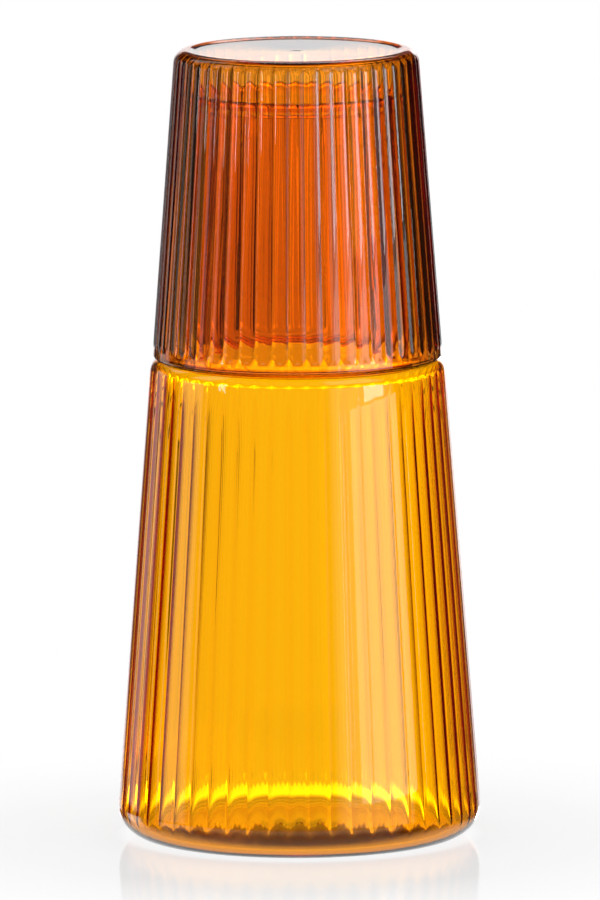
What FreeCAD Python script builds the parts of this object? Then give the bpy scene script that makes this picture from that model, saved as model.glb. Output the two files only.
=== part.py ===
import FreeCAD, Part
import math
import os
import Sketcher

# A bedside carafe in ribbed glass, with its tumbler turned upside down over the neck as a lid.
# Millimetres, +Z up. The origin is the centre of the carafe's foot, on the surface it stands on.
# Both pieces are turned shapes about Z. The tumbler is reeded outside. The carafe is smooth outside
# and reeded inside its body, and its neck and mouth are plain.

SIZES = [
    # the reeds of both pieces
    ("rib_count", 52, "reeds round each piece"),
    ("rib_depth", 0.4, "how far a reed's crest stands above the valley beside it"),
    # carafe
    ("base_diameter", 108.0, "outside, where the wall's line meets the floor"),
    ("shoulder_diameter", 86.0, "outside, where the wall's line meets the shoulder's flat"),
    ("body_height", 142.4, "floor to the flat of the shoulder"),
    ("base_corner_radius", 9.0, "outside, between wall and floor"),
    ("shoulder_corner_radius", 5.0, "outside, between wall and shoulder"),
    ("neck_root_radius", 4.0, "outside, between shoulder and neck"),
    ("body_wall", 2.0, "glass at the ridges between the reeds"),
    ("shoulder_thickness", 1.6, "glass of the shoulder's flat"),
    ("floor_thickness", 2.0, "glass of the floor"),
    ("neck_wall", 1.8, "glass of the neck"),
    ("bead_swell", 0.35, "how far the mouth's bead stands out on each side of the neck's wall"),
    ("foot_ring_width", 4.0, "the flat ring that the carafe stands on"),
    ("push_up", 1.5, "how far the floor's centre is raised"),
    # tumbler
    ("tumbler_height", 91.0, "rim to base"),
    ("tumbler_base_diameter", 71.4, "outside, where the wall's line meets the base"),
    ("tumbler_corner_radius", 4.0, "outside, between wall and base"),
    ("tumbler_wall", 1.9, "glass of the wall, to the reeds' crests"),
    ("tumbler_base_thickness", 1.8, "glass of the base"),
    ("tumbler_foot_width", 4.0, "the flat ring that the tumbler stands on when it is upright"),
    ("tumbler_push_up", 0.8, "how far the base's centre is sunk"),
    ("rim_band_height", 3.0, "the plain band above the rim, without reeds"),
    ("rim_fade", 1.5, "the stretch in which the reeds run out into the band"),
    # where the two pieces meet
    ("rim_inset", 0.35, "how far the rim stands in from the edge of the shoulder"),
    ("seat_clearance", 0.2, "between the tumbler's rim and the shoulder it rests on"),
    ("neck_root_gap", 7.8, "between the neck's root and the tumbler's inner wall"),
    ("neck_mouth_gap", 5.0, "between the neck's mouth and the tumbler's inner wall"),
    ("head_room", 10.9, "between the mouth and the inside of the tumbler's base"),
    # the pip left at the centre of both bases
    ("pip_radius", 2.5, "at its edge"),
    ("pip_depth", 0.5, "at its centre"),
]

LIP_SHARE = 0.45  # a rim's corner radius, as a share of its wall: just under a full round
SKIN = 0.05  # how far a smooth envelope stands outside the reeds' crests, so that it never touches them
REED_ROOT = 0.8  # how far a reed's sector reaches in from the valleys, to join the core
CORE_INSET = 0.4  # how far the core's surface lies in from the valleys, within the sectors
OVERRUN = 2.0  # how far a cutting shape runs past the face that it opens


class Size:
    """A length with its number now and the formula that binds it to the sheet."""

    def __init__(self, value, formula):
        self.value = value
        self.formula = formula

    def __add__(self, other):
        return joined(self, "+", other, lambda a, b: a + b)

    def __sub__(self, other):
        return joined(self, "-", other, lambda a, b: a - b)

    def __mul__(self, other):
        return joined(self, "*", other, lambda a, b: a * b)

    def __truediv__(self, other):
        return joined(self, "/", other, lambda a, b: a / b)


def as_size(number):
    return number if isinstance(number, Size) else Size(float(number), repr(float(number)))


def joined(first, sign, second, work):
    second = as_size(second)
    return Size(work(first.value, second.value), f"({first.formula} {sign} {second.formula})")


def square_root(size):
    return Size(math.sqrt(size.value), f"sqrt({size.formula})")


def not_below_zero(size):
    return Size(max(size.value, 0.0), f"max({size.formula}; 0)")


def sine(degrees):
    return Size(math.sin(math.radians(degrees.value)), f"sin({degrees.formula})")


def cosine(degrees):
    return Size(math.cos(math.radians(degrees.value)), f"cos({degrees.formula})")


def between(low, high, share):
    """The size that lies a share of the way from low to high."""
    return low + (high - low) * share


def make_sheet(doc):
    """The sheet of driving sizes, and a Size for each of its rows by name."""
    sheet = doc.addObject("Spreadsheet::Sheet", "Sizes")
    sizes = {}
    for row, (name, value, meaning) in enumerate(SIZES, start=1):
        sheet.set(f"A{row}", str(value))
        sheet.setAlias(f"A{row}", name)
        sheet.set(f"B{row}", meaning)
        sizes[name] = Size(float(value), f"Sizes.{name}")
    doc.recompute()
    return sizes


def origin_plane(body, role):
    return next(item for item in body.Origin.OriginFeatures if item.Role == role)


def new_sketch(body, name, role, height=None):
    """A sketch on one of the body's own planes, raised by height along the plane's normal."""
    sketch = body.newObject("Sketcher::SketchObject", name)
    sketch.AttachmentSupport = [(origin_plane(body, role), "")]
    sketch.MapMode = "FlatFace"
    if height is not None:
        sketch.AttachmentOffset.Base.z = height.value
        sketch.setExpression("AttachmentOffset.Base.z", height.formula)
    return sketch


def hold(sketch, kind, *where, size=None):
    """Adds a constraint, and binds its value to the sheet where it has one."""
    if size is None:
        sketch.addConstraint(Sketcher.Constraint(kind, *where))
        return
    index = sketch.addConstraint(Sketcher.Constraint(kind, *where, size.value))
    sketch.setExpression(f"Constraints[{index}]", size.formula)


def hold_point(sketch, geometry, position, x, y):
    """Places a point of a sketch by its distances from the sketch's two axes."""
    for size, axis, kind in ((x, -2, "DistanceX"), (y, -1, "DistanceY")):
        if size.value == 0:
            hold(sketch, "PointOnObject", geometry, position, axis)
        else:
            hold(sketch, kind, -1, 1, geometry, position, size=size)


def line(start, end):
    return Part.LineSegment(FreeCAD.Vector(*start, 0), FreeCAD.Vector(*end, 0))


def fillet_arc(corner, before, after, radius):
    """The arc that rounds a corner between two neighbours, with its start and end in drawing order."""
    corner = FreeCAD.Vector(*corner, 0)
    to_before = (FreeCAD.Vector(*before, 0) - corner).normalize()
    to_after = (FreeCAD.Vector(*after, 0) - corner).normalize()
    half = to_before.getAngle(to_after) / 2
    centre = corner + (to_before + to_after).normalize() * (radius / math.sin(half))
    start = corner + to_before * (radius / math.tan(half))
    end = corner + to_after * (radius / math.tan(half))
    turns_left = to_before.cross(to_after).z < 0
    angles = [math.atan2(point.y - centre.y, point.x - centre.x) for point in (start, end)]
    if not turns_left:
        angles.reverse()
    circle = Part.Circle(centre, FreeCAD.Vector(0, 0, 1), radius)
    return Part.ArcOfCircle(circle, *angles), start, end, turns_left


def draw_outline(sketch, corners):
    """A closed outline of straight sides through corners (x, y) or (x, y, radius), each rounded where it
    has a radius. The corners stay where the sheet puts them, whatever the radii are."""
    corners = [tuple(as_size(part) for part in corner) for corner in corners]
    places = [(corner[0].value, corner[1].value) for corner in corners]
    count = len(corners)
    starts, ends, arcs = [None] * count, [None] * count, {}
    for i, corner in enumerate(corners):
        starts[i] = ends[i - 1] = places[i]
        if len(corner) == 3:
            shape, arc_start, arc_end, turns_left = fillet_arc(
                places[i], places[i - 1], places[(i + 1) % count], corner[2].value
            )
            arcs[i] = (shape, turns_left)
            ends[i - 1] = (arc_start.x, arc_start.y)
            starts[i] = (arc_end.x, arc_end.y)
    sides = [sketch.addGeometry(line(starts[i], ends[i])) for i in range(count)]
    for i, corner in enumerate(corners):
        side_before, side_after = sides[i - 1], sides[i]
        if i not in arcs:
            hold(sketch, "Coincident", side_before, 2, side_after, 1)
            hold_point(sketch, side_after, 1, corner[0], corner[1])
            continue
        shape, turns_left = arcs[i]
        arc = sketch.addGeometry(shape)
        arc_start, arc_end = (1, 2) if turns_left else (2, 1)
        hold(sketch, "Tangent", side_before, 2, arc, arc_start)
        hold(sketch, "Tangent", arc, arc_end, side_after, 1)
        hold(sketch, "Radius", arc, size=corner[2])
        mark = sketch.addGeometry(Part.Point(FreeCAD.Vector(*places[i], 0)), True)
        hold_point(sketch, mark, 1, corner[0], corner[1])
        hold(sketch, "PointOnObject", mark, 1, side_before)
        hold(sketch, "PointOnObject", mark, 1, side_after)


def turn(body, name, corners):
    """Adds to a body the solid that a half section, drawn in its XZ plane, makes turned about Z."""
    sketch = new_sketch(body, f"{name}_section", "XZ_Plane")
    draw_outline(sketch, corners)
    solid = body.newObject("PartDesign::Revolution", name)
    solid.Profile = sketch
    solid.ReferenceAxis = (sketch, ["V_Axis"])
    solid.Angle = 360
    body.Tip = solid
    return solid


def turned_body(doc, name, corners):
    body = doc.addObject("PartDesign::Body", name)
    turn(body, name + "_turned", corners)
    return body


def draw_reed(sketch, crest, rib_count, rib_depth):
    """One reed's section: a sector one pitch wide, with an arc outside from valley to crest to valley."""
    half_pitch = as_size(180) / rib_count
    valley = crest - rib_depth
    root = valley - REED_ROOT
    valley_x, valley_y = valley * cosine(half_pitch), valley * sine(half_pitch)
    root_x, root_y = root * cosine(half_pitch), root * sine(half_pitch)
    low_root, high_root = (root_x.value, -root_y.value), (root_x.value, root_y.value)
    low_valley, high_valley = (valley_x.value, -valley_y.value), (valley_x.value, valley_y.value)
    low_side = sketch.addGeometry(line(low_root, low_valley))
    top = FreeCAD.Vector(crest.value, 0, 0)
    arc = sketch.addGeometry(
        Part.Arc(FreeCAD.Vector(*low_valley, 0), top, FreeCAD.Vector(*high_valley, 0))
    )
    high_side = sketch.addGeometry(line(high_valley, high_root))
    inner_side = sketch.addGeometry(line(high_root, low_root))
    mark = sketch.addGeometry(Part.Point(top), True)
    hold(sketch, "Coincident", low_side, 2, arc, 1)
    hold(sketch, "Coincident", arc, 2, high_side, 1)
    hold(sketch, "Coincident", high_side, 2, inner_side, 1)
    hold(sketch, "Coincident", inner_side, 2, low_side, 1)
    hold(sketch, "Symmetric", low_side, 2, high_side, 1, -1)
    hold(sketch, "Symmetric", low_side, 1, high_side, 2, -1)
    hold_point(sketch, high_side, 1, valley_x, valley_y)
    hold_point(sketch, high_side, 2, root_x, root_y)
    hold_point(sketch, mark, 1, crest, as_size(0))
    hold(sketch, "PointOnObject", mark, 1, arc)


def reeded_body(doc, name, crest_low, crest_high, height, core_top, rib_count, rib_depth):
    """A cone of convex reeds from z = 0 to height, on a core that goes on as a cylinder to core_top."""
    body = doc.addObject("PartDesign::Body", name)
    core_low = crest_low - rib_depth - CORE_INSET
    core_high = crest_high - rib_depth - CORE_INSET
    turn(body, name + "_core", [(0, 0), (core_low, 0), (core_high, height), (core_high, core_top), (0, core_top)])
    low = new_sketch(body, name + "_reed_low", "XY_Plane")
    draw_reed(low, crest_low, rib_count, rib_depth)
    high = new_sketch(body, name + "_reed_high", "XY_Plane", height)
    draw_reed(high, crest_high, rib_count, rib_depth)
    reed = body.newObject("PartDesign::AdditiveLoft", name + "_reed")
    reed.Profile = low
    reed.Sections = [high]
    reed.Ruled = True
    ring = body.newObject("PartDesign::PolarPattern", name + "_reeds")
    ring.Originals = [reed]
    ring.Axis = (low, ["N_Axis"])
    ring.Angle = 360
    ring.Occurrences = int(rib_count.value)
    ring.setExpression("Occurrences", rib_count.formula)
    body.Tip = ring
    return body


def boolean(doc, kind, name, base, tool):
    result = doc.addObject(kind, name)
    result.Base = base
    result.Tool = tool
    return result


def side_slope(low, high, height):
    """The tangent of a wall's lean, and the secant that goes with it."""
    slope = (low - high) / height
    return slope, square_root(slope * slope + 1)


class Layout:
    """Where the two pieces meet, worked out once for both from the sheet's sizes."""

    def __init__(self, z):
        self.base_radius = z["base_diameter"] / 2
        self.shoulder_radius = z["shoulder_diameter"] / 2
        slope, secant = side_slope(self.base_radius, self.shoulder_radius, z["body_height"])
        # The rounded corners' tangent points on the floor and on the shoulder's flat.
        self.foot_outer = self.base_radius - z["base_corner_radius"] * (secant + slope)
        self.foot_inner = self.foot_outer - z["foot_ring_width"]
        corner = z["shoulder_corner_radius"]
        corner_centre = self.shoulder_radius - corner * (secant - slope)
        # The tumbler's rim, and the rounded inner edge on which it rests.
        self.rim_radius = self.shoulder_radius - z["rim_inset"]
        self.rim_inner = self.rim_radius - z["tumbler_wall"]
        self.lip_radius = z["tumbler_wall"] * LIP_SHARE
        reach = corner + self.lip_radius + z["seat_clearance"]
        across = not_below_zero(self.rim_inner + self.lip_radius - corner_centre)
        rise = square_root(reach * reach - across * across)
        self.tumbler_rest = z["body_height"] - corner + rise - self.lip_radius
        # The space inside the tumbler, in which the neck stands.
        self.tumbler_top_radius = z["tumbler_base_diameter"] / 2
        self.tumbler_top_inner = self.tumbler_top_radius - z["tumbler_wall"]
        self.tumbler_ceiling = z["tumbler_height"] - z["tumbler_base_thickness"]
        self.mouth_height = self.tumbler_rest + self.tumbler_ceiling - z["head_room"]
        mouth_share = (self.mouth_height - self.tumbler_rest) / z["tumbler_height"]
        inner_at_mouth = between(self.rim_inner, self.tumbler_top_inner, mouth_share)
        self.neck_root = self.rim_inner - z["neck_root_gap"]
        self.neck_mouth = inner_at_mouth - z["neck_mouth_gap"]


def make_carafe(doc, z, layout):
    """The vessel: turned outside, hollowed by a turned inside whose body is reeded."""
    bead_radius = z["neck_wall"] / 2 + z["bead_swell"]
    neck_top = layout.mouth_height - bead_radius
    outside = turned_body(doc, "carafe_outside", [
        (0, z["push_up"] + z["pip_depth"]),
        (z["pip_radius"], z["push_up"]),
        (layout.foot_inner, 0),
        (layout.base_radius, 0, z["base_corner_radius"]),
        (layout.shoulder_radius, z["body_height"], z["shoulder_corner_radius"]),
        (layout.neck_root, z["body_height"], z["neck_root_radius"]),
        (layout.neck_mouth, neck_top),
        (0, neck_top),
    ])
    crest_low = layout.base_radius - z["body_wall"] + z["rib_depth"]
    crest_high = layout.shoulder_radius - z["body_wall"] + z["rib_depth"]
    floor_share = z["floor_thickness"] / z["body_height"]
    ceiling = z["body_height"] - z["shoulder_thickness"]
    ceiling_share = ceiling / z["body_height"]
    envelope = turned_body(doc, "carafe_inside", [
        (0, z["floor_thickness"] + z["push_up"]),
        (layout.foot_inner, z["floor_thickness"]),
        (
            between(crest_low, crest_high, floor_share) + SKIN,
            z["floor_thickness"],
            z["base_corner_radius"] - z["body_wall"],
        ),
        (
            between(crest_low, crest_high, ceiling_share) + SKIN,
            ceiling,
            z["shoulder_corner_radius"] - z["body_wall"],
        ),
        (layout.neck_root - z["neck_wall"], ceiling, z["neck_root_radius"] + z["neck_wall"]),
        (layout.neck_mouth - z["neck_wall"], neck_top + OVERRUN),
        (0, neck_top + OVERRUN),
    ])
    reeds = reeded_body(
        doc, "carafe_reeds", crest_low, crest_high, z["body_height"], neck_top + OVERRUN * 2,
        z["rib_count"], z["rib_depth"],
    )
    hollow = boolean(doc, "Part::Common", "carafe_hollow", envelope, reeds)
    vessel = boolean(doc, "Part::Cut", "carafe_vessel", outside, hollow)
    bead = doc.addObject("Part::Torus", "mouth_bead")
    bead.setExpression("Radius1", (layout.neck_mouth - z["neck_wall"] / 2).formula)
    bead.setExpression("Radius2", bead_radius.formula)
    bead.setExpression("Placement.Base.z", neck_top.formula)
    return boolean(doc, "Part::Fuse", "carafe", vessel, bead)


def make_tumbler(doc, z, layout):
    """The tumbler, drawn upside down with its rim at z = 0 and then raised onto the shoulder."""
    height, depth = z["tumbler_height"], z["rib_depth"]
    rim, top = layout.rim_radius, layout.tumbler_top_radius
    band_top = z["rim_band_height"]
    reeds_full = band_top + z["rim_fade"]
    band_radius = between(rim, top, band_top / height) - depth / 2
    foot_inner = top - z["tumbler_corner_radius"] - z["tumbler_foot_width"]
    envelope = turned_body(doc, "tumbler_envelope", [
        (0, 0),
        (rim - depth / 2, 0, layout.lip_radius),
        (band_radius, band_top),
        (between(rim, top, reeds_full / height) + SKIN, reeds_full),
        (top + SKIN, height, z["tumbler_corner_radius"]),
        (foot_inner, height),
        (z["pip_radius"], height - z["tumbler_push_up"]),
        (0, height - z["tumbler_push_up"] - z["pip_depth"]),
    ])
    reeds = reeded_body(
        doc, "tumbler_reeds", rim, top, height, height + OVERRUN, z["rib_count"], depth
    )
    turn(reeds, "tumbler_rim_band", [
        (0, 0),
        (rim + SKIN, 0),
        (band_radius + depth / 2 + SKIN, band_top),
        (between(rim, top, reeds_full / height) - depth - CORE_INSET / 2, reeds_full),
        (0, reeds_full),
    ])
    outside = boolean(doc, "Part::Common", "tumbler_outside", envelope, reeds)
    inner_corner = z["tumbler_corner_radius"] - z["tumbler_wall"]
    ceiling = layout.tumbler_ceiling
    inside = turned_body(doc, "tumbler_inside", [
        (0, as_size(0) - OVERRUN),
        (rim + OVERRUN, as_size(0) - OVERRUN),
        (rim + OVERRUN, 0),
        (layout.rim_inner, 0, layout.lip_radius),
        (between(layout.rim_inner, layout.tumbler_top_inner, ceiling / height), ceiling, inner_corner),
        (0, ceiling),
    ])
    tumbler = boolean(doc, "Part::Cut", "tumbler", outside, inside)
    tumbler.setExpression("Placement.Base.z", layout.tumbler_rest.formula)
    return tumbler


def check(doc, parts):
    """Stops before anything is written if a step failed or a piece isn't one sound solid."""
    for item in doc.Objects:
        if {"Invalid", "Error"} & set(item.State):
            raise RuntimeError(f"{item.Name} failed: {item.State}")
    for part in parts:
        if part.Shape.isNull() or not part.Shape.isValid() or len(part.Shape.Solids) != 1:
            raise RuntimeError(f"{part.Label} isn't one valid solid")


def main():
    doc = FreeCAD.newDocument("carafe_set")
    sizes = make_sheet(doc)
    layout = Layout(sizes)
    parts = [make_carafe(doc, sizes, layout), make_tumbler(doc, sizes, layout)]
    doc.recompute()
    check(doc, parts)
    os.makedirs("parts", exist_ok=True)
    for part in parts:
        part.Shape.exportStep(f"parts/{part.Label}.step")
        box = part.Shape.BoundBox
        print(f"{part.Label}: {part.Shape.Volume / 1000:.1f} ml of glass, z {box.ZMin:.2f} to {box.ZMax:.2f}")


main()
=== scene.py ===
import math

import bpy
import numpy as np
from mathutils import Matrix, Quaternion, Vector


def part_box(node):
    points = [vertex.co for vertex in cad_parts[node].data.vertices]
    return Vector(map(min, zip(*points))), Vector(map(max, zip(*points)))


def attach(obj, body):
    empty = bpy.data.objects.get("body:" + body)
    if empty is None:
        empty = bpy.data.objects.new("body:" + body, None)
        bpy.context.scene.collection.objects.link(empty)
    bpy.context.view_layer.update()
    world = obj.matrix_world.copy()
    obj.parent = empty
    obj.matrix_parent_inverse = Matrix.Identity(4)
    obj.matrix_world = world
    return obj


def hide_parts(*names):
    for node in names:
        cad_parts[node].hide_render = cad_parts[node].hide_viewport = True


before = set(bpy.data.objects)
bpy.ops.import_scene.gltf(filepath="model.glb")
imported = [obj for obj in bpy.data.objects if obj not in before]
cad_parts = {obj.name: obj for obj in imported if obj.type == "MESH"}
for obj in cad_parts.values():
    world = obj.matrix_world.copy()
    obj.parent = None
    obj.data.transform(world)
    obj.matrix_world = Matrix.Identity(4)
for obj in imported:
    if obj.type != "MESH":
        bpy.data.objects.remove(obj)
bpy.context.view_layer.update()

# A carafe of amber glass, reeded inside, with its tumbler, reeded outside, upside down over the neck.
# Each is one closed mesh turned about Z, and takes the place of its CAD node.

MM = 0.001
rng = np.random.default_rng(52)

# Heights in millimetres, from the boxes of the CAD pieces.
MOUTH_Z = round(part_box("carafe")[1][2] / MM, 2)
RIM_Z, TOP_Z = [round(corner[2] / MM, 2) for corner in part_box("tumbler")]

# The carafe in millimetres: the CAD model's sizes, with a rounder bead, foot and pip of its own.
# A corner, fillet, curve or lip is the radius of a rounding. A bead is given as half its thickness.
BASE_R, SHOULDER_R, BODY_H = 54.0, 43.0, 142.4
BASE_CORNER, SHOULDER_CORNER, NECK_FILLET = 9.0, 5.0, 4.0
BODY_WALL, FLOOR, SHOULDER_WALL, NECK_WALL = 2.0, 2.0, 1.6, 1.8
FOOT_INNER, FOOT_CURVE, PUSH_UP = 40.3, 20.0, 1.5
PIP_R, PIP, PIP_CURVE = 2.5, 0.5, 3.0
NECK_ROOT, NECK_MOUTH = 32.95, 29.77
FLARE_DROP, FLARE_CURVE = 4.5, 4.0
BEAD, BEAD_DROP, BEAD_CURVE = 1.35, 2.4, 1.5
BEAD_LIP = BEAD * 0.98
BODY_SLOPE = (BASE_R - SHOULDER_R) / BODY_H
CARAFE_STEPS = {"arc_step": 12.0, "line_step": 10.0}

# The tumbler in millimetres: the CAD model's sizes, with a shallower pip, a wider recess and a rounder band.
RIM_R, TOP_R, TUMBLER_CORNER = 42.65, 35.7, 4.0
TUMBLER_WALL, TUMBLER_BASE, TUMBLER_INNER_CORNER = 1.9, 1.8, 2.1
TUMBLER_PUSH, TUMBLER_PIP, TUMBLER_PIP_CURVE = 0.8, 0.12, 2.0
PIP_FLAT = 0.7  # the level ring round the pip
RECESS_EDGE, RECESS_WIDTH, RECESS_CURVE = 0.4, 1.5, 1.2
RECESS_SHARE = 0.7  # the depth at the recess's edge, as a share of the depth round the pip
BAND, FADE, BAND_CURVE = 3.0, 1.5, 6.0
LIP = TUMBLER_WALL * 0.47
TUMBLER_H = TOP_Z - RIM_Z
TUMBLER_SLOPE = (RIM_R - TOP_R) / TUMBLER_H
TUMBLER_STEPS = {"arc_step": 9.0, "line_step": 4.5}

# The reeds, in millimetres. A power is how sharply a reed turns at the ridge or valley beside it.
REEDS = 52
COLUMNS_PER_REED = 12
CROWDING = 0.35  # how far the mesh's columns crowd towards the sides of a reed
REED_DEPTH = 0.4
CARAFE_IN_DEPTH, CARAFE_IN_POWER = 0.38, 2.0
CARAFE_OUT_DEPTH, CARAFE_OUT_POWER = 0.06, 6.0
TUMBLER_DEPTH, TUMBLER_POWER = 0.5, 2.0
# The least and most depth of one groove or reed, as shares of CARAFE_OUT_DEPTH and TUMBLER_DEPTH.
GROOVE_SHARES, TUMBLER_SHARES = (0.2, 1.8), (0.8, 1.15)
# Where the carafe's grooves begin above the foot and its reeds and grooves end below the shoulder.
GROOVE_START, REEDS_END = 9.0, 4.0
# Over what height they come in or run out.
GROOVE_RISE, GROOVE_FALL, REEDS_FALL = 8.0, 6.0, 2.5
# How near two surfaces come before the edge between them is rounded.
BLEND, BAND_BLEND = 0.04, 0.05
CEILING_MARGIN = 0.1  # how far under the inside of the shoulder the reeds' surface stops

# Faint upright lines in the glass, in millimetres: their height, and how slowly they change up the wall.
BODY_LINES, NECK_LINES, TUMBLER_LINES = 0.005, 0.035, 0.045
LINES_CHANGE = 21.0
# The neck has them from this far above the shoulder to this far below the mouth.
NECK_LINES_START, NECK_LINES_STOP = 6.0, 5.0

# How much red, green and blue a metre of the glass takes, as -ln of what passes.
CARAFE_ABSORB = (20, 248, 2200)
TUMBLER_ABSORB = (105, 415, 1300)
MOST_TAKEN = 0.95  # the strongest of them as a share of the density, which leaves its colour above black
IOR = 1.47

# The studio as the glass sees it, where a level of 1 is white.
LEVEL_TOP = 3.0  # the brightest level that a ramp can hold
# Levels by the angle round the object, in degrees from straight behind it (0) towards its right (90).
NEAR_TABLE_RING = [
    (-180, 0.3), (-120, 0.3), (-110, 0.1), (-102, 0.4), (-79, 0.4), (-75, 0.02), (-58, 0.02), (-54, 0.6),
    (-37, 0.6), (-33, 0.02), (-14, 0.02), (-9, 0.5), (-4, 1.0), (3, 0.95), (8, 1.5), (10, 2.9), (14, 2.9),
    (17, 0.02), (108, 0.03), (116, 0.33), (150, 0.33), (165, 0.3), (180, 0.3),
]
TABLE_RING = [
    (-180, 0.1), (-60, 0.02), (-24, 0.02), (-17, 1.15), (15, 1.15), (22, 0.02), (108, 0.02), (180, 0.1),
]
BACKDROP_RING = [
    (-180, 0.1), (-104, 0.1), (-100, 0.9), (-80, 0.9), (-76, 0.02), (-57, 0.02), (-53, 0.85), (-38, 0.85),
    (-34, 0.02), (-16, 0.05), (-10, 0.9), (-6, 1.15), (4, 1.15), (8, 1.8), (14, 1.8), (17, 0.02),
    (100, 0.03), (108, 1.0), (150, 1.0), (158, 0.1), (180, 0.1),
]
# Where one ring gives way to the next, from and to, in degrees above the horizon.
RING_ENDS = ((-10.2, -9.8), (-8.0, -7.6))
# Levels by the height of the direction, in degrees above the horizon. They multiply those of the rings.
HEIGHTS = [
    (-90, 0.9), (-30, 1.0), (-24, 1.6), (-17, 2.2), (-15, 3.0), (-13, 3.0), (-10.4, 2.2), (-9.8, 1.0),
    (0, 1.0), (2, 1.15), (9.4, 1.15), (10.6, 0.05), (25, 0.06), (31, 1.5), (50, 1.5), (58, 0.06), (90, 0.06),
]
DIFFUSE_LEVEL = 0.85  # the studio's level on matt surfaces, the same all round
CAMERA_LEVEL = 1.0

# The table, in metres. It lies just under the carafe's foot.
TABLE_HALF, TABLE_DROP = 60.0, 0.00005
TABLE_WHITE, TABLE_ROUGHNESS = 0.93, 0.09
# How much of it shines plain white, by the distance from the axis, with a painted ring of light under the
# foot's rounded edge. The rest takes the studio's light.
TABLE_GLOW = [(0.038, 0.0), (0.041, 0.9), (0.050, 0.9), (0.055, 0.58), (0.09, 0.58), (0.16, 1.0)]
# The painted pool of light under the far half of the base: where it comes in along Y, and where it runs out
# from the axis.
GATHERED_FROM, GATHERED_TO = -0.012, 0.012
UNDER_FROM, UNDER_TO = 0.040, 0.044
# Where the table ends as the glass sees it, by the distance from the axis.
TABLE_END_FROM, TABLE_END_TO = 0.054, 0.066

# Upright lamps: the angle as in the rings, and the rest in metres and watts per square metre and steradian.
SOFTBOXES = {
    "softbox_right_low": dict(angle=120, distance=1.0, width=0.74, height=0.2, radiance=2.2, bottom=-0.03),
    "strip_right": dict(angle=147.4, distance=1.0, width=0.02, height=0.2, radiance=2.6, bottom=-0.03),
    "softbox_right_high": dict(angle=120, distance=1.0, width=0.3, height=0.15, radiance=7.0, bottom=0.178),
    "softbox_left": dict(angle=-120, distance=1.2, width=0.12, height=0.3, radiance=6.5, bottom=0.21),
}

# The camera: millimetres for the lens and its sensor, degrees, and metres.
CAM_LENS, CAM_SENSOR = 681.0, 36
CAM_DISTANCE, CAM_CLIP_END = 5.0, 200
CAM_ELEVATION, CAM_ROLL = 8.1, -0.24
CAM_X, CAM_Z = 0.0006, 0.1140

GLASS_BOUNCES, GLOSSY_BOUNCES = 40, 24


def rounded(corners, arc_step, line_step):
    """Points along a half section through corners (r, z) or (r, z, radius), each rounded."""
    groups = []
    for i, corner in enumerate(corners):
        here = np.array(corner[:2], float)
        if len(corner) < 3 or i in (0, len(corners) - 1):
            groups.append([here])
            continue
        before = np.array(corners[i - 1][:2], float) - here
        after = np.array(corners[i + 1][:2], float) - here
        before /= np.linalg.norm(before)
        after /= np.linalg.norm(after)
        half = math.acos(np.clip(before @ after, -1, 1)) / 2
        radius = corner[2]
        middle = before + after
        centre = here + middle / np.linalg.norm(middle) * radius / math.sin(half)
        reach = radius / math.tan(half)
        start, end = here + before * reach, here + after * reach
        start_angle = math.atan2(*(start - centre)[::-1])
        end_angle = math.atan2(*(end - centre)[::-1])
        turn = (end_angle - start_angle + math.pi) % (2 * math.pi) - math.pi
        count = max(2, math.ceil(abs(math.degrees(turn)) / arc_step))
        angles = [start_angle + turn * k / count for k in range(count + 1)]
        groups.append([centre + radius * np.array([math.cos(a), math.sin(a)]) for a in angles])
    chain = []
    for group in groups:
        if chain:
            gap = np.linalg.norm(group[0] - chain[-1])
            count = max(1, math.ceil(gap / line_step))
            for k in range(1, count):
                chain.append(chain[-1] + (group[0] - chain[-1]) / (count - k + 1))
        chain.extend(group)
    return np.array(chain)


def reed_columns():
    """The mesh's columns: their angles round the axis, where each lies across its reed, and in which reed."""
    even = np.linspace(-1, 1, COLUMNS_PER_REED + 1)[:-1]
    across = even * (1 + CROWDING - CROWDING * even * even)
    pitch = 2 * math.pi / REEDS
    angles = (np.arange(REEDS)[:, None] * pitch + across[None, :] * pitch / 2).ravel()
    return angles, np.tile(across, REEDS), np.repeat(np.arange(REEDS), COLUMNS_PER_REED)


def soft_min(a, b, width):
    """The lesser of a and b, rounded where they come within width of each other."""
    share = np.clip(0.5 + 0.5 * (b - a) / width, 0, 1)
    return b + (a - b) * share - width * share * (1 - share)


def soft_max(a, b, width):
    return -soft_min(-a, -b, width)


def drawn_lines(reach):
    """Two sets of faint upright ridges, as drawn glass has, with heights round the axis of about reach."""
    lines = rng.normal(0, 1, (2, REEDS * COLUMNS_PER_REED))
    lines = (np.roll(lines, 1, 1) + 2 * lines + np.roll(lines, -1, 1)) / 4
    return lines * reach


def lines_at(lines, z):
    """The ridges at height z, where one set slowly takes over from the other."""
    share = 0.5 + 0.5 * math.sin(z / LINES_CHANGE)
    return lines[0] * share + lines[1] * (1 - share)


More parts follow.
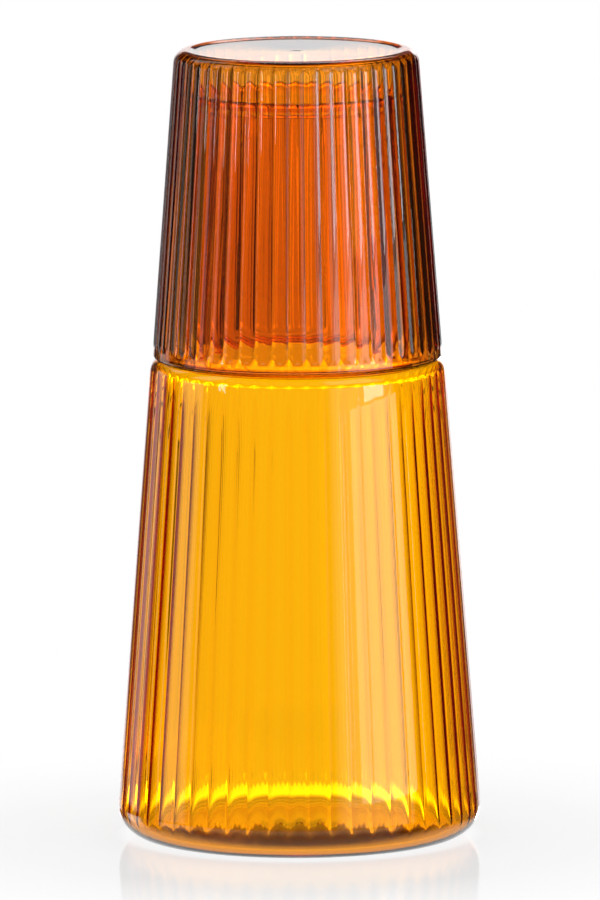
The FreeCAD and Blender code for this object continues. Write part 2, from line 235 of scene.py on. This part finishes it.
def turned_mesh(name, chain, shape):
    """A closed mesh turned about Z. shape(i, r, z, across, reed) gives the radii of row i."""
    angles, across, reed = reed_columns()
    rows = []
    for i, (r, z) in list(enumerate(chain))[1:-1]:
        radii = shape(i, r, z, across, reed)
        height = np.full_like(radii, z)
        rows.append(np.column_stack([radii * np.sin(angles), radii * np.cos(angles), height]))
    first, last = [[[0, 0, z]] for r, z in (chain[0], chain[-1])]
    vertices = np.vstack([first, *rows, last]) * MM
    count = len(angles)
    column = np.arange(count)
    following = (column + 1) % count
    faces = [(0, 1 + following[k], 1 + k) for k in range(count)]
    for row in range(len(rows) - 1):
        near, far = 1 + row * count, 1 + (row + 1) * count
        faces.extend(zip(near + column, near + following, far + following, far + column))
    last_row = 1 + (len(rows) - 1) * count
    faces.extend((last_row + k, last_row + following[k], len(vertices) - 1) for k in range(count))
    mesh = bpy.data.meshes.new(name)
    mesh.from_pydata(vertices.tolist(), [], [tuple(int(corner) for corner in face) for face in faces])
    mesh.polygons.foreach_set("use_smooth", [True] * len(mesh.polygons))
    # A chain that starts at the top gives faces that look outward, and one that starts at the bottom doesn't.
    if chain[0][1] < chain[len(chain) // 2][1]:
        mesh.flip_normals()
    mesh.update()
    piece = bpy.data.objects.new(name, mesh)
    bpy.context.scene.collection.objects.link(piece)
    return piece


def inside_r(z):
    """How far out the inside of the carafe's body reaches at height z, at the middle of a reed."""
    return BASE_R - BODY_SLOPE * z - BODY_WALL + REED_DEPTH


def carafe_chain():
    """The half section, from under the floor to the mouth and back down inside, and its highest row."""
    lip_r = NECK_MOUTH - NECK_WALL / 2
    ceiling = BODY_H - SHOULDER_WALL
    outside = [
        (0, PUSH_UP + PIP),
        (PIP_R, PUSH_UP, PIP_CURVE),
        (FOOT_INNER, 0, FOOT_CURVE),
        (BASE_R, 0, BASE_CORNER),
        (SHOULDER_R, BODY_H, SHOULDER_CORNER),
        (NECK_ROOT, BODY_H, NECK_FILLET),
        (NECK_MOUTH, MOUTH_Z - FLARE_DROP, FLARE_CURVE),
        (lip_r + BEAD, MOUTH_Z - BEAD_DROP, BEAD_CURVE),
        (lip_r + BEAD, MOUTH_Z, BEAD_LIP),
    ]
    inside = [
        (lip_r - BEAD, MOUTH_Z, BEAD_LIP),
        (lip_r - BEAD, MOUTH_Z - BEAD_DROP, BEAD_CURVE),
        (NECK_MOUTH - NECK_WALL, MOUTH_Z - FLARE_DROP, FLARE_CURVE),
        (NECK_ROOT - NECK_WALL, ceiling, NECK_FILLET + NECK_WALL),
        (inside_r(ceiling), ceiling, SHOULDER_CORNER - BODY_WALL),
        (inside_r(FLOOR), FLOOR, BASE_CORNER - BODY_WALL),
        (FOOT_INNER, FLOOR, FOOT_CURVE),
        (0, FLOOR + PUSH_UP),
    ]
    chain = rounded(outside + inside, **CARAFE_STEPS)
    return chain, int(np.argmax(chain[:, 1]))


def make_carafe():
    """Reeds inside the body, slight grooves between them outside, and drawn lines in the body and neck."""
    chain, turn = carafe_chain()
    groove = rng.uniform(*GROOVE_SHARES, REEDS)
    body_lines, neck_lines = drawn_lines(BODY_LINES), drawn_lines(NECK_LINES)

    def shape(i, r, z, across, reed):
        below_end = BODY_H - REEDS_END - z
        if i > turn and z < BODY_H - SHOULDER_WALL - CEILING_MARGIN:
            fade = np.clip(below_end / REEDS_FALL, 0, 1)
            reeds = inside_r(z) - CARAFE_IN_DEPTH * fade * np.abs(across) ** CARAFE_IN_POWER
            return soft_min(np.full_like(reeds, r), reeds, BLEND) + lines_at(body_lines, z) * fade
        if i < turn:
            fade = np.clip((z - GROOVE_START) / GROOVE_RISE, 0, 1) * np.clip(below_end / GROOVE_FALL, 0, 1)
            return r - CARAFE_OUT_DEPTH * groove[reed] * fade * np.abs(across) ** CARAFE_OUT_POWER
        if i > turn and BODY_H + NECK_LINES_START < z < MOUTH_Z - NECK_LINES_STOP:
            return r + lines_at(neck_lines, z)
        return np.full_like(across, r)

    return turned_mesh("carafe_glass", chain, shape)


def tumbler_chain():
    """The half section, from the base down the outside to the rim and back up, and its lowest row."""
    ceiling = TUMBLER_H - TUMBLER_BASE
    recess_r = TOP_R - TUMBLER_CORNER - RECESS_EDGE
    outside = [
        (0, TUMBLER_H - TUMBLER_PUSH - TUMBLER_PIP),
        (PIP_R, TUMBLER_H - TUMBLER_PUSH, TUMBLER_PIP_CURVE),
        (PIP_R + PIP_FLAT, TUMBLER_H - TUMBLER_PUSH),
        (recess_r - RECESS_WIDTH, TUMBLER_H - TUMBLER_PUSH * RECESS_SHARE, RECESS_CURVE),
        (recess_r, TUMBLER_H, RECESS_CURVE),
        (TOP_R, TUMBLER_H, TUMBLER_CORNER),
        (RIM_R - TUMBLER_SLOPE * (BAND + FADE), BAND + FADE, BAND_CURVE),
        (RIM_R - TUMBLER_SLOPE * BAND - REED_DEPTH / 2, BAND, BAND_CURVE),
        (RIM_R - REED_DEPTH / 2, 0, LIP),
    ]
    inside = [
        (RIM_R - TUMBLER_WALL, 0, LIP),
        (RIM_R - TUMBLER_WALL - TUMBLER_SLOPE * ceiling, ceiling, TUMBLER_INNER_CORNER),
        (0, ceiling),
    ]
    chain = rounded(outside + inside, **TUMBLER_STEPS)
    turn = int(np.argmin(chain[:, 1]))
    chain[:, 1] += RIM_Z
    return chain, turn


def make_tumbler():
    """Reeds outside that run out into the plain band at the rim, and drawn lines inside."""
    chain, turn = tumbler_chain()
    inner_lines = drawn_lines(TUMBLER_LINES)
    depth = TUMBLER_DEPTH * rng.uniform(*TUMBLER_SHARES, REEDS)

    def shape(i, r, z, across, reed):
        if i <= turn:
            height = z - RIM_Z
            crest = RIM_R - TUMBLER_SLOPE * height
            reeds = crest - depth[reed] * np.abs(across) ** TUMBLER_POWER
            fill = crest - REED_DEPTH / 2 - (height - BAND) / FADE * REED_DEPTH / 2
            reeds = soft_max(reeds, np.full_like(reeds, fill), BAND_BLEND)
            return soft_min(np.full_like(reeds, r), reeds, BLEND)
        return r + lines_at(inner_lines, z)

    return turned_mesh("tumbler_glass", chain, shape)


def glass(name, absorb):
    """Clear coloured glass, which takes absorb of red, green and blue in a metre."""
    material = bpy.data.materials.new(name)
    material.use_nodes = True
    nodes, links = material.node_tree.nodes, material.node_tree.links
    shader = nodes["Principled BSDF"]
    shader.inputs["Base Color"].default_value = (1, 1, 1, 1)
    shader.inputs["Transmission Weight"].default_value = 1
    shader.inputs["Roughness"].default_value = 0
    shader.inputs["IOR"].default_value = IOR
    volume = nodes.new("ShaderNodeVolumeAbsorption")
    density = max(absorb) / MOST_TAKEN
    volume.inputs["Density"].default_value = density
    volume.inputs["Color"].default_value = (*[1 - a / density for a in absorb], 1)
    links.new(volume.outputs[0], nodes["Material Output"].inputs["Volume"])
    return material


def add_node(tree, kind, **settings):
    """A new shader node with its settings, such as its operation."""
    node = tree.nodes.new("ShaderNode" + kind)
    for name, value in settings.items():
        setattr(node, name, value)
    return node


def combine(tree, operation, a, b, kind="Math"):
    """The result of a sum, product or other operation on the outputs a and b."""
    node = add_node(tree, kind, operation=operation)
    tree.links.new(a, node.inputs[0])
    tree.links.new(b, node.inputs[1])
    return node.outputs[0]


def spread(tree, value, start, end, low=0.0, high=1.0, curve="LINEAR"):
    """From low, where value is at start or below it, to high, where value is at end or above it."""
    node = add_node(tree, "MapRange", interpolation_type=curve)
    for name, number in (("From Min", start), ("From Max", end), ("To Min", low), ("To Max", high)):
        node.inputs[name].default_value = number
    tree.links.new(value, node.inputs["Value"])
    return node.outputs[0]


def level_ramp(tree, value, stops):
    """The level at value, read off (position, level) stops and given as a share of LEVEL_TOP."""
    ramp = add_node(tree, "ValToRGB")
    elements = ramp.color_ramp.elements
    elements.remove(elements[1])
    elements[0].position = stops[0][0]
    for position, level in stops[1:]:
        elements.new(position)
    for element, (position, level) in zip(elements, stops):
        element.color = (level / LEVEL_TOP,) * 3 + (1,)
    tree.links.new(value, ramp.inputs[0])
    return ramp.outputs["Color"]


def mix_colours(tree, share, a):
    """A node that mixes share of its second colour, inputs[7], into a. The result is outputs[2]."""
    node = add_node(tree, "Mix", data_type="RGBA")
    tree.links.new(share, node.inputs["Factor"])
    tree.links.new(a, node.inputs[6])
    return node


def mix_shaders(tree, share, a, b):
    """Shader a, with share of shader b."""
    node = add_node(tree, "MixShader")
    for socket, source in zip(node.inputs, (share, a, b)):
        tree.links.new(source, socket)
    return node.outputs[0]


def sine(degrees):
    return math.sin(math.radians(degrees))


def make_world():
    """The studio. Glass sees it by direction, matt surfaces at one plain level, and the camera as white."""
    world = bpy.data.worlds.new("studio")
    bpy.context.scene.world = world
    world.use_nodes = True
    tree = world.node_tree
    links = tree.links
    direction = add_node(tree, "SeparateXYZ")
    links.new(add_node(tree, "TexCoord").outputs["Generated"], direction.inputs[0])
    x, y, z = direction.outputs
    turn = spread(tree, combine(tree, "ARCTAN2", x, y), -math.pi, math.pi)
    rings = [
        level_ramp(tree, turn, [((degrees + 180) / 360, level) for degrees, level in ring])
        for ring in (NEAR_TABLE_RING, TABLE_RING, BACKDROP_RING)
    ]
    level = rings[0]
    for ring, (start, end) in zip(rings[1:], RING_ENDS):
        mix = mix_colours(tree, spread(tree, z, sine(start), sine(end)), level)
        links.new(ring, mix.inputs[7])
        level = mix.outputs[2]
    stops = [((sine(degrees) + 1) / 2, height_level) for degrees, height_level in HEIGHTS]
    band = level_ramp(tree, spread(tree, z, -1, 1), stops)
    light = add_node(tree, "VectorMath", operation="SCALE")
    light.inputs["Scale"].default_value = LEVEL_TOP ** 2
    links.new(combine(tree, "MULTIPLY", level, band, kind="VectorMath"), light.inputs[0])
    seen = light.outputs[0]
    rays = add_node(tree, "LightPath").outputs
    for ray, plain in (("Is Diffuse Ray", DIFFUSE_LEVEL), ("Is Camera Ray", CAMERA_LEVEL)):
        mix = mix_colours(tree, rays[ray], seen)
        mix.inputs[7].default_value = (plain, plain, plain, 1)
        seen = mix.outputs[2]
    links.new(seen, tree.nodes["Background"].inputs["Color"])


def table_material():
    """White and glossy, with painted light round and under the foot. Seen in glass the table ends near the
    object, and the studio lies beyond.
    """
    material = bpy.data.materials.new("white_table")
    material.use_nodes = True
    tree = material.node_tree
    links = tree.links
    shader = tree.nodes["Principled BSDF"]
    shader.inputs["Base Color"].default_value = (TABLE_WHITE, TABLE_WHITE, TABLE_WHITE, 1)
    shader.inputs["Roughness"].default_value = TABLE_ROUGHNESS
    white = add_node(tree, "Emission")
    white.inputs["Color"].default_value = (1, 1, 1, 1)
    white.inputs["Strength"].default_value = 1.0
    position = add_node(tree, "NewGeometry").outputs["Position"]
    place = add_node(tree, "SeparateXYZ")
    length = add_node(tree, "VectorMath", operation="LENGTH")
    links.new(position, place.inputs[0])
    links.new(position, length.inputs[0])
    distance = length.outputs["Value"]
    # Plain white far out, and a painted ring of light under the foot's rounded edge.
    glow = level_ramp(tree, distance, [(r, share * LEVEL_TOP) for r, share in TABLE_GLOW])
    # White under the far half of the base stands in for the light that the round wall gathers there.
    behind = spread(tree, place.outputs["Y"], GATHERED_FROM, GATHERED_TO, curve="SMOOTHSTEP")
    under = spread(tree, distance, UNDER_FROM, UNDER_TO, 1.0, 0.0)
    white_share = combine(tree, "MAXIMUM", combine(tree, "MULTIPLY", behind, under), glow)
    near = mix_shaders(tree, white_share, shader.outputs[0], white.outputs[0])
    rays = add_node(tree, "LightPath").outputs
    in_glass = combine(tree, "MAXIMUM", rays["Is Glossy Ray"], rays["Is Transmission Ray"])
    past_end = spread(tree, distance, TABLE_END_FROM, TABLE_END_TO, curve="SMOOTHSTEP")
    open_share = combine(tree, "MULTIPLY", in_glass, past_end)
    beyond = add_node(tree, "BsdfTransparent")
    seen = mix_shaders(tree, open_share, near, beyond.outputs[0])
    links.new(seen, tree.nodes["Material Output"].inputs["Surface"])
    return material


def make_floor():
    mesh = bpy.data.meshes.new("floor")
    corners = [(x * TABLE_HALF, y * TABLE_HALF, 0) for x, y in ((-1, -1), (1, -1), (1, 1), (-1, 1))]
    mesh.from_pydata(corners, [], [(0, 1, 2, 3)])
    mesh.materials.append(table_material())
    floor = bpy.data.objects.new("floor", mesh)
    floor.location.z = -TABLE_DROP
    bpy.context.scene.collection.objects.link(floor)


def softbox(name, angle, distance, width, height, radiance, bottom):
    """An upright rectangular lamp that faces the axis, unseen by the camera."""
    lamp = bpy.data.lights.new(name, "AREA")
    lamp.shape = "RECTANGLE"
    lamp.size, lamp.size_y = width, height
    lamp.energy = radiance * math.pi * width * height
    holder = bpy.data.objects.new(name, lamp)
    bpy.context.scene.collection.objects.link(holder)
    a = math.radians(angle)
    holder.location = (math.sin(a) * distance, math.cos(a) * distance, bottom + height / 2)
    holder.rotation_mode = "QUATERNION"
    holder.rotation_quaternion = Vector((-math.sin(a), -math.cos(a), 0)).to_track_quat("-Z", "Y")
    holder.visible_camera = False


def make_camera():
    """Straight in front, a little above the object, and turned by CAM_ROLL about the line of sight."""
    camera = bpy.data.cameras.new("camera")
    camera.lens = CAM_LENS
    camera.sensor_width = CAM_SENSOR
    camera.clip_end = CAM_CLIP_END
    holder = bpy.data.objects.new("camera", camera)
    bpy.context.scene.collection.objects.link(holder)
    elevation = math.radians(CAM_ELEVATION)
    back = Vector((0, -math.cos(elevation), math.sin(elevation)))
    holder.location = Vector((CAM_X, 0, CAM_Z)) + back * CAM_DISTANCE
    holder.rotation_mode = "QUATERNION"
    upright = (-back).to_track_quat("-Z", "Y")
    holder.rotation_quaternion = upright @ Quaternion((0, 0, 1), math.radians(CAM_ROLL))
    bpy.context.scene.camera = holder


# Both meshes draw from rng, the carafe's first.
carafe = make_carafe()
tumbler = make_tumbler()
for piece, node, absorb in ((carafe, "carafe", CARAFE_ABSORB), (tumbler, "tumbler", TUMBLER_ABSORB)):
    piece.data.materials.append(glass(node + "_glass", absorb))
    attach(piece, node)
    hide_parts(node)

make_world()
make_floor()
for name, lamp in SOFTBOXES.items():
    softbox(name, **lamp)
make_camera()

scene = bpy.context.scene
scene.view_settings.view_transform = "Standard"
scene.cycles.max_bounces = GLASS_BOUNCES
scene.cycles.transmission_bounces = GLASS_BOUNCES
scene.cycles.glossy_bounces = GLOSSY_BOUNCES
